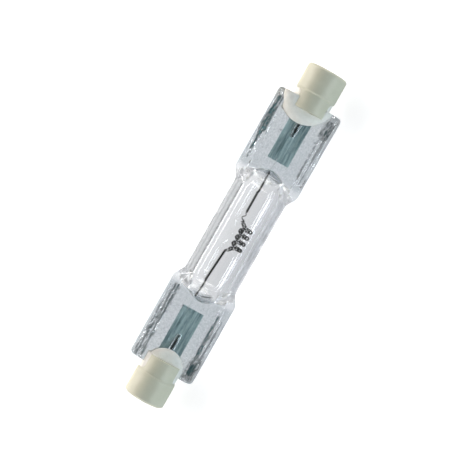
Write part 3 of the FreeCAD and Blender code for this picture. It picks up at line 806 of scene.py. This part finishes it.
def windingPath(line, ends):
    # a helix about the stretch of the lead between two places
    outer, inner = ends
    stretch = line[(np.abs(line[:, 0]) < abs(outer)) & (np.abs(line[:, 0]) > abs(inner))]
    turns = pathLength(stretch) / leads["windingPitch"]
    stretch = evenly(stretch, int(turns * leads["stepsPerTurn"]))
    ahead = unit(np.gradient(stretch, axis=0))
    side = unit(np.cross(ahead, [0, 0, 1]))
    spoke = spokesAbout(side, np.cross(ahead, side), np.linspace(0, turns * tau, len(stretch)))
    return stretch + spoke * (leads["diameter"] + leads["windingWire"]) / 2, spoke


def leadRadius(places):
    # a small bead of scale where the wire leaves the glass, and a thinner wire inside the glass
    beads, buried = leads["beads"], leads["buried"]
    bulge = sum(np.exp(-((places - at) / beads["length"]) ** 2) for at in beads["at"]) * beads["height"]
    inside = eased((np.abs(places) - buried["from"]) / buried["run"])
    return leads["diameter"] / 2 * (1 - buried["thinner"] * inside) + bulge


for side in ("right", "left"):
    line = smoothPath(leads[side]["knots"], 120)
    wire = wireGrid(line, leadRadius(line[:, 0]), np.array([[0, 0, 1.0]]), leads["sides"])
    lead = meshOf("lead_" + side, [(wire, 1)])
    run = np.abs(localPoints(lead.data)[:, 0]) - leads["bare"]["from"]
    writeField(lead.data, "bare", eased(run / leads["bare"]["run"]))
    placed(lead, leadWire, "inner_lead_" + side)
    turns, spoke = windingPath(line, leads[side]["winding"])
    wire = wireGrid(turns, leads["windingWire"] / 2, spoke, leads["windingSides"])
    winding = meshOf("winding_" + side, [(wire, 1)], smoothAngle=80)
    placed(winding, darkTungsten, "lead_coil_" + side)
print("filament and leads ready")

# Foils: thin strips with lengthwise folds

foil = {
    "inner": 17.7,
    "outer": 28.6,
    "width": 4.86,
    "height": -0.395,
    "thickness": 0.04,
    "edge": 0.6,
    "edgeShare": 0.15,
    "fold": 0.02,
}


def foilGrid(side, seed):
    # a flat closed band, thinned towards its edges: its section runs over the front and back of the strip
    columns, rows = 61, 40
    across = np.linspace(-1, 1, columns) * foil["width"] / 2
    ring = np.concatenate([across, across[::-1]])
    x = np.repeat(np.linspace(foil["inner"], foil["outer"], rows)[:, None], len(ring), 1)
    y = np.repeat(ring[None], rows, 0)
    front = np.concatenate([np.ones(columns), -np.ones(columns)])
    taper = np.clip((foil["width"] / 2 - np.abs(ring)) / foil["edge"], foil["edgeShare"], 1)
    z = foil["height"] + ripples(x * 0.5, y, seed=seed, fine=2.6, count=10) * foil["fold"]
    z = z + front * taper * foil["thickness"] / 2
    grid = np.stack([x * side, y, z], -1)
    middle = np.repeat(grid.mean(1, keepdims=True), len(ring), 1)
    return np.concatenate([middle[:1], grid, middle[-1:]])


for side, sign, seed in (("right", 1, 11), ("left", -1, 12)):
    strip = meshOf("foilStrip_" + side, [(foilGrid(sign, seed), 1)], smoothAngle=60)
    placed(strip, tealFoil, "foil_" + side)

# Outer pins: straight wires drawn down at the weld

for side, sign in (("right", 1), ("left", -1)):
    rod = turnedRod(sign, pin["weld"], pin["plainFrom"], pin["end"], pin["radius"], steps=20, sides=28)
    placed(meshOf("pin_" + side, [(rod, 1)]), pinMetal, "outer_pin_" + side)

# Ceramic caps and cement: the solids' own shapes with their edges softened

ends = {
    "voxel": 0.11,
    "softening": 0.5,
    "capPasses": 4,
    "cementPasses": 6,
    "lumpHeight": 0.03,
    "lumpSize": 1.0,
}


def softened(node, name, passes):
    # a copy of a solid, remeshed evenly and smoothed
    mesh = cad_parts[node].data.copy()
    work = bmesh.new()
    work.from_mesh(mesh)
    bmesh.ops.remove_doubles(work, verts=work.verts, dist=1e-7)
    work.to_mesh(mesh)
    work.free()
    mesh.name = name
    piece = newObject(name, mesh)
    remesh = piece.modifiers.new("even", "REMESH")
    remesh.mode = "VOXEL"
    remesh.voxel_size = ends["voxel"] / 1000
    smooth = piece.modifiers.new("soft", "SMOOTH")
    smooth.iterations = passes
    smooth.factor = ends["softening"]
    shape = bpy.context.evaluated_depsgraph_get()
    piece.data = bpy.data.meshes.new_from_object(piece.evaluated_get(shape))
    piece.modifiers.clear()
    piece.data.name = name
    piece.data.shade_smooth()
    return piece


def roughen(piece, seed, count=24):
    # moves each point along its normal by soft random waves
    mesh = piece.data
    points = np.zeros(len(mesh.vertices) * 3, np.float32)
    normals = np.zeros(len(mesh.vertices) * 3, np.float32)
    mesh.vertices.foreach_get("co", points)
    mesh.vertices.foreach_get("normal", normals)
    points, normals = points.reshape(-1, 3), normals.reshape(-1, 3)
    chance = np.random.default_rng(seed)
    waves = np.zeros(len(points))
    for _ in range(count):
        way = chance.normal(0, 1000 / ends["lumpSize"], 3)
        waves += np.sin(points @ way + chance.uniform(0, tau))
    waves *= ends["lumpHeight"] / 1000 / math.sqrt(count)
    mesh.vertices.foreach_set("co", (points + normals * waves[:, None]).astype(np.float32).ravel())
    mesh.update()


for side, seed in (("right", 21), ("left", 22)):
    cap = softened("cap_" + side, "capShell_" + side, ends["capPasses"])
    placed(cap, ivoryCeramic, "cap_" + side)
    lump = softened("cement_" + side, "cementLump_" + side, ends["cementPasses"])
    roughen(lump, seed)
    placed(lump, mattCement, "cement_" + side)
    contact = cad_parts["contact_" + side]
    contact.data.materials.clear()
    contact.data.materials.append(turnedNickel)
print("caps and cement ready")

# Camera: the photograph's view, a little off the seals' face, with the lamp's upper end to the right

camera = {
    "roll": 6.0,
    "tilt": 2.5,
    "lean": 29.6,
    "distance": 320.0,
    "scale": 4.80,
    "frame": 470,
    "middle": (235.5, 236.1),
    "sensor": 36,
}
lampMiddle = Vector((0, 0, axisHeight))


def makeCamera():
    roll, tilt, lean = (math.radians(camera[name]) for name in ("roll", "tilt", "lean"))
    facing = restTurn - roll
    out = Vector((math.sin(tilt), -math.sin(facing) * math.cos(tilt), math.cos(facing) * math.cos(tilt)))
    along = (Vector((1, 0, 0)) - out * out.x).normalized()
    beside = along.cross(out)
    right = math.cos(lean) * beside + math.sin(lean) * along
    up = math.cos(lean) * along - math.sin(lean) * beside
    data = bpy.data.cameras.new("photoCamera")
    data.sensor_width = camera["sensor"]
    data.lens = camera["sensor"] * camera["distance"] * camera["scale"] / camera["frame"]
    data.clip_start, data.clip_end = 0.01, 20
    eye = newObject("photoCamera", data)
    offRight = (camera["frame"] / 2 - camera["middle"][0]) / camera["scale"] / 1000
    offUp = (camera["middle"][1] - camera["frame"] / 2) / camera["scale"] / 1000
    turn = Matrix((right, up, out)).transposed().to_4x4()
    turn.translation = lampMiddle + out * camera["distance"] / 1000 + right * offRight + up * offUp
    eye.matrix_world = turn
    bpy.context.scene.camera = eye
    return out, along, beside


viewOut, lampAlong, lampBeside = makeCamera()

# Light: soft strips on both sides, a pale floor, and surroundings that are dim behind the camera

light = {
    # angles are from the view's direction, across the lamp; a strip without glints isn't reflected,
    # and one without spread is only reflected
    "strips": [
        {"name": "leftSoft", "angle": -100, "wide": 0.16, "long": 0.9, "watts": 2.35,
         "color": (1.0, 0.985, 0.955), "glints": False},
        {"name": "leftBand", "angle": -77, "wide": 0.08, "long": 0.26, "watts": 0.50,
         "color": (1.0, 0.99, 0.97), "glints": False},
        {"name": "leftGlint", "angle": -79.5, "wide": 0.045, "long": 0.30, "watts": 0.60,
         "color": (1.0, 1.0, 1.0), "spread": False},
        {"name": "upperGlint", "angle": 48.5, "wide": 0.044, "long": 0.14, "watts": 0.32,
         "color": (0.95, 0.98, 1.0), "spread": False, "along": 0.0485},
        {"name": "lowerGlint", "angle": 48.5, "wide": 0.044, "long": 0.14, "watts": 0.32,
         "color": (0.95, 0.98, 1.0), "spread": False, "along": -0.1065},
        {"name": "rightBand", "angle": 52, "wide": 0.06, "long": 0.26, "watts": 0.84,
         "color": (0.62, 0.85, 1.0), "glints": False},
    ],
    "ends": {"angle": 88, "wide": 0.25, "watts": 0.95, "color": (1.0, 0.99, 0.96)},
    "far": 0.40,
    "near": 0.38,
    "around": (0.44, 0.45, 0.465),
    "behindCamera": (0.055, 0.05, 0.035),
    "dimFrom": 0.35,
    "dimTo": 0.85,
    "floor": (0.66, 0.67, 0.69),
    "floorReach": 3.0,
    "floorForCamera": 0.70,
    "floorInGlass": 0.17,
    "worldForCamera": 1.0,
    "worldInGlass": 0.12,
}


def areaLamp(name, wide, long, watts, color):
    data = bpy.data.lights.new(name, "AREA")
    data.shape = "RECTANGLE"
    data.size, data.size_y = wide, long
    data.energy = watts
    data.color = color
    return newObject(name, data)


def makeStrip(strip):
    # a strip that faces the lamp, its long side along it
    angle = math.radians(strip["angle"])
    away = lampBeside * math.sin(angle) + viewOut * math.cos(angle)
    glints, spread = strip.get("glints", True), strip.get("spread", True)
    lamp = areaLamp(strip["name"], strip["wide"], strip["long"], strip["watts"], strip["color"])
    turn = Matrix((lampAlong.cross(away), lampAlong, away)).transposed().to_4x4()
    distance = light["far" if spread else "near"]
    turn.translation = away * distance + lampMiddle + lampAlong * strip.get("along", 0)
    lamp.matrix_world = turn
    lamp.visible_glossy = lamp.visible_transmission = glints
    lamp.visible_diffuse = spread


def makeEndLight(name, sign):
    # a soft lamp beyond one end, which lights the cement's rounded rims
    ends = light["ends"]
    angle = math.radians(ends["angle"])
    away = lampAlong * (sign * math.sin(angle)) + viewOut * math.cos(angle)
    lamp = areaLamp(name, ends["wide"], ends["wide"], ends["watts"], ends["color"])
    turn = away.to_track_quat("Z", "Y").to_matrix().to_4x4()
    lamp.matrix_world = Matrix.Translation(away * light["far"]) @ turn


for strip in light["strips"]:
    makeStrip(strip)
makeEndLight("beyondRight", 1)
makeEndLight("beyondLeft", -1)


def backgroundShare(tree, direct, inGlass):
    # how far the background is lifted: for the camera, and less in reflections and through the glass
    path = addNode(tree, "ShaderNodeLightPath").outputs
    either = mathOf(tree, "MAXIMUM", path["Is Glossy Ray"], path["Is Transmission Ray"])
    less = mathOf(tree, "MULTIPLY", either, inGlass)
    return mathOf(tree, "MULTIPLY_ADD", path["Is Camera Ray"], direct, less)


def makeWorld():
    world = bpy.data.worlds.new("paleSurroundings")
    world.use_nodes = True
    bpy.context.scene.world = world
    tree = world.node_tree
    way = addNode(tree, "ShaderNodeTexCoord").outputs["Generated"]
    toCamera = addNode(tree, "ShaderNodeVectorMath", {0: way, 1: viewOut}, operation="DOT_PRODUCT")
    facing = {"Value": toCamera.outputs["Value"], "From Min": light["dimFrom"], "From Max": light["dimTo"]}
    near = addNode(tree, "ShaderNodeMapRange", facing, interpolation_type="SMOOTHSTEP")
    plain = tree.nodes["Background"]
    shade = colorBlend(tree, near.outputs["Result"], (*light["around"], 1), (*light["behindCamera"], 1))
    tree.links.new(shade, plain.inputs["Color"])
    white = addNode(tree, "ShaderNodeBackground", {"Color": (1, 1, 1, 1)})
    lift = backgroundShare(tree, light["worldForCamera"], light["worldInGlass"])
    blend = addNode(tree, "ShaderNodeMixShader", {0: lift, 1: plain.outputs[0], 2: white.outputs[0]})
    tree.links.new(blend.outputs[0], tree.nodes["World Output"].inputs["Surface"])


def makeFloor():
    # plain and pale: lifted to white for the camera, less through the glass, while the shadow stays
    mesh = bpy.data.meshes.new("floor")
    reach = light["floorReach"]
    corners = [(-reach, -reach, 0), (reach, -reach, 0), (reach, reach, 0), (-reach, reach, 0)]
    mesh.from_pydata(corners, [], [(0, 1, 2, 3)])
    material, tree, shader = newMaterial("paleFloor", Roughness=1.0, Specular_IOR_Level=0.0,
                                         Base_Color=(*light["floor"], 1), Emission_Color=(1, 1, 1, 1))
    lift = backgroundShare(tree, light["floorForCamera"], light["floorInGlass"])
    tree.links.new(lift, shader.inputs["Emission Strength"])
    mesh.materials.append(material)
    newObject("floor", mesh)


makeWorld()
makeFloor()
bpy.context.scene.view_settings.view_transform = "Standard"
print("camera and light ready")
